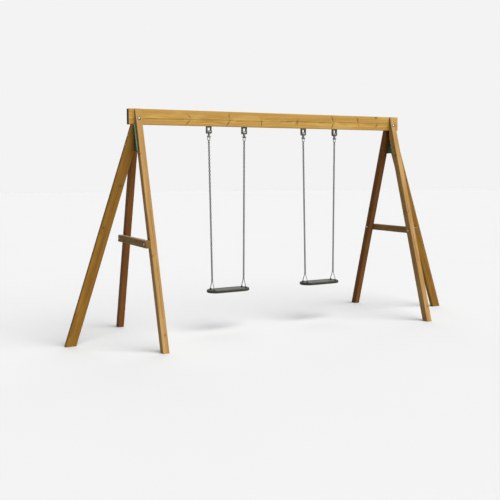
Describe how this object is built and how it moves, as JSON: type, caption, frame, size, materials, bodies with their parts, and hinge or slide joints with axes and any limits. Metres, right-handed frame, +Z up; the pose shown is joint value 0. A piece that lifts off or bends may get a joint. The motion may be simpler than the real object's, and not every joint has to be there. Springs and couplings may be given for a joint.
{
  "type": "swing set",
  "caption": "Timber swing set: a long beam on two three-legged ends with cross rungs and green steel gussets; rubber seats hang from it on steel chains.",
  "frame": {"origin": "middle of the bounding box on the ground: under the beam's middle, midway between the front and back feet", "axes": "+X along the beam, from the left end to the right; +Y from front to back; +Z up"},
  "size_m": [4.182, 1.335, 2.08],
  "materials": {
    "timber": "impregnated pine, matt, honey brown",
    "green_steel": "powder-coated dark green",
    "galvanised_steel": "hot-dip galvanised, dull",
    "bush_nylon": "natural nylon",
    "seat_rubber": "moulded rubber, matt dark grey",
    "boss_rubber": "moulded rubber, matt black"
  },
  "bodies": {
    "frame": {"top_beam": "timber", "left_front_leg": "timber", "left_back_leg": "timber", "right_front_leg": "timber", "right_back_leg": "timber", "left_outrigger": "timber", "right_outrigger": "timber", "left_rung": "timber", "right_rung": "timber", "left_gusset": "green_steel", "right_gusset": "green_steel", "apex_bolts": "galvanised_steel", "apex_washers": "galvanised_steel", "apex_nuts": "galvanised_steel", "rung_bolts": "galvanised_steel", "rung_washers": "galvanised_steel", "rung_nuts": "galvanised_steel", "outrigger_bolts": "galvanised_steel", "outrigger_washers": "galvanised_steel", "outrigger_nuts": "galvanised_steel", "gusset_screws": "galvanised_steel", "left_hanger_brackets": "galvanised_steel", "right_hanger_brackets": "galvanised_steel", "hanger_bolts": "galvanised_steel", "hanger_washers": "galvanised_steel", "hanger_nuts": "galvanised_steel", "axle_bolts": "galvanised_steel", "axle_nuts": "galvanised_steel", "axle_bushes": "bush_nylon"},
    "left_hangers": {"left_hanger_eyes": "galvanised_steel"},
    "left_chains": {"left_shackles": "galvanised_steel", "left_shackle_pins": "galvanised_steel", "left_swing_left_chain": "galvanised_steel", "left_swing_right_chain": "galvanised_steel"},
    "left_seat": {"left_seat_bails": "galvanised_steel", "left_seat_pad": "seat_rubber", "left_seat_insert": "galvanised_steel", "left_seat_bosses": "boss_rubber", "left_seat_washers": "galvanised_steel", "left_seat_nuts": "galvanised_steel"},
    "right_hangers": {"right_hanger_eyes": "galvanised_steel"},
    "right_chains": {"right_shackles": "galvanised_steel", "right_shackle_pins": "galvanised_steel", "right_swing_left_chain": "galvanised_steel", "right_swing_right_chain": "galvanised_steel"},
    "right_seat": {"right_seat_bails": "galvanised_steel", "right_seat_pad": "seat_rubber", "right_seat_insert": "galvanised_steel", "right_seat_bosses": "boss_rubber", "right_seat_washers": "galvanised_steel", "right_seat_nuts": "galvanised_steel"}
  },
  "joints": [
    {"name": "left_swing", "type": "hinge", "parent": "frame", "child": "left_hangers", "pos_m": [-0.515, 0, 1.888], "axis": [1, 0, 0], "range_deg": [-60, 60]},
    {"name": "left_shackle_pivot", "type": "hinge", "parent": "left_hangers", "child": "left_chains", "pos_m": [-0.515, 0, 1.845], "axis": [1, 0, 0], "range_deg": [-30, 30]},
    {"name": "left_seat_tilt", "type": "hinge", "parent": "left_chains", "child": "left_seat", "pos_m": [-0.515, 0, 0.4693], "axis": [1, 0, 0], "range_deg": [-40, 40]},
    {"name": "right_swing", "type": "hinge", "parent": "frame", "child": "right_hangers", "pos_m": [0.515, 0, 1.888], "axis": [1, 0, 0], "range_deg": [-60, 60]},
    {"name": "right_shackle_pivot", "type": "hinge", "parent": "right_hangers", "child": "right_chains", "pos_m": [0.515, 0, 1.845], "axis": [1, 0, 0], "range_deg": [-30, 30]},
    {"name": "right_seat_tilt", "type": "hinge", "parent": "right_chains", "child": "right_seat", "pos_m": [0.515, 0, 0.4693], "axis": [1, 0, 0], "range_deg": [-40, 40]}
  ]
}
